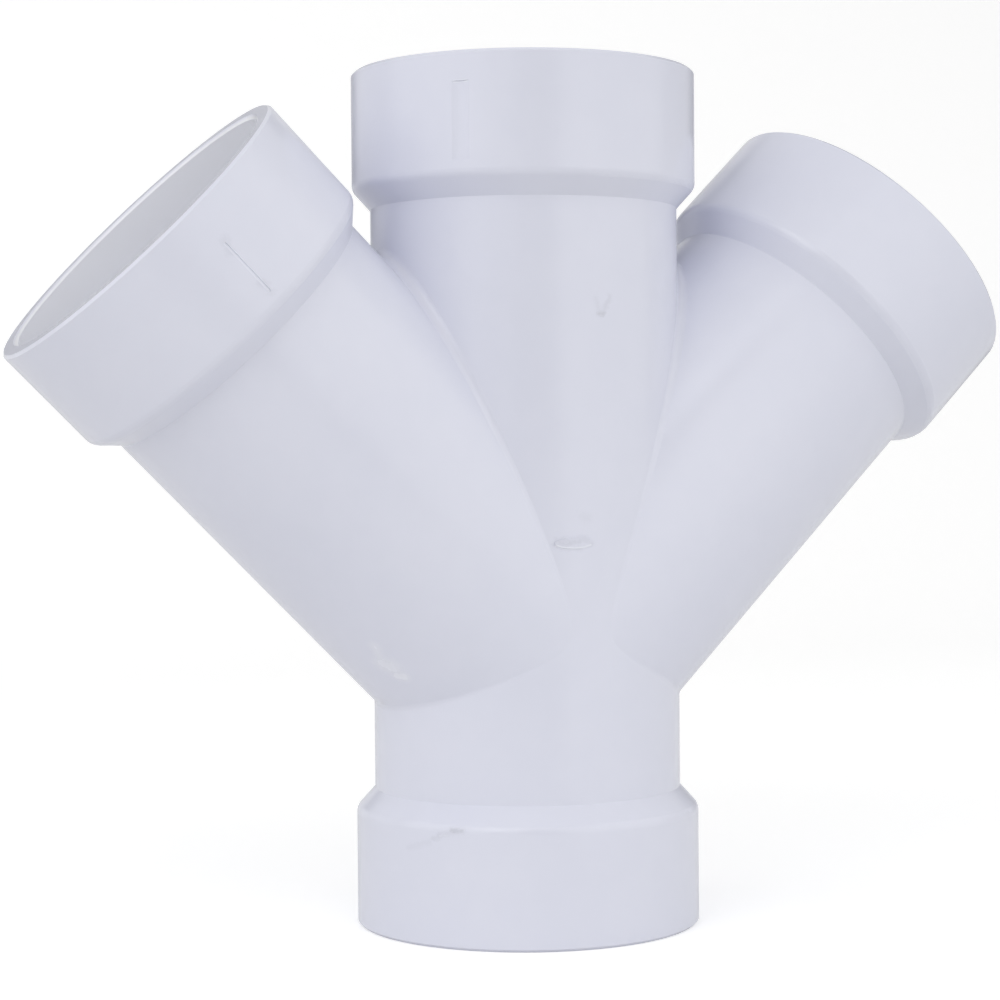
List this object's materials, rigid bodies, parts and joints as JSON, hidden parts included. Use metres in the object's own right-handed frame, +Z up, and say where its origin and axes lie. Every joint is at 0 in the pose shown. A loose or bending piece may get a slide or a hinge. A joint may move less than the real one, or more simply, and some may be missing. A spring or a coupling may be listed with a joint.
{
  "type": "double wye pipe fitting",
  "caption": "Moulded drain fitting: a straight run with slanted branches leaving it on opposite sides, and a pipe socket hub on every end.",
  "frame": {"origin": "centre of the lower mouth, at the bottom of the fitting", "axes": "+Z up the run to the top socket, +X towards the right branch, +Y to the back"},
  "size_m": [0.3868, 0.128, 0.316],
  "materials": {
    "white_pvc": "smooth moulded rigid PVC, softly glossy"
  },
  "bodies": {
    "root": {"double_wye": "white_pvc"}
  },
  "joints": []
}
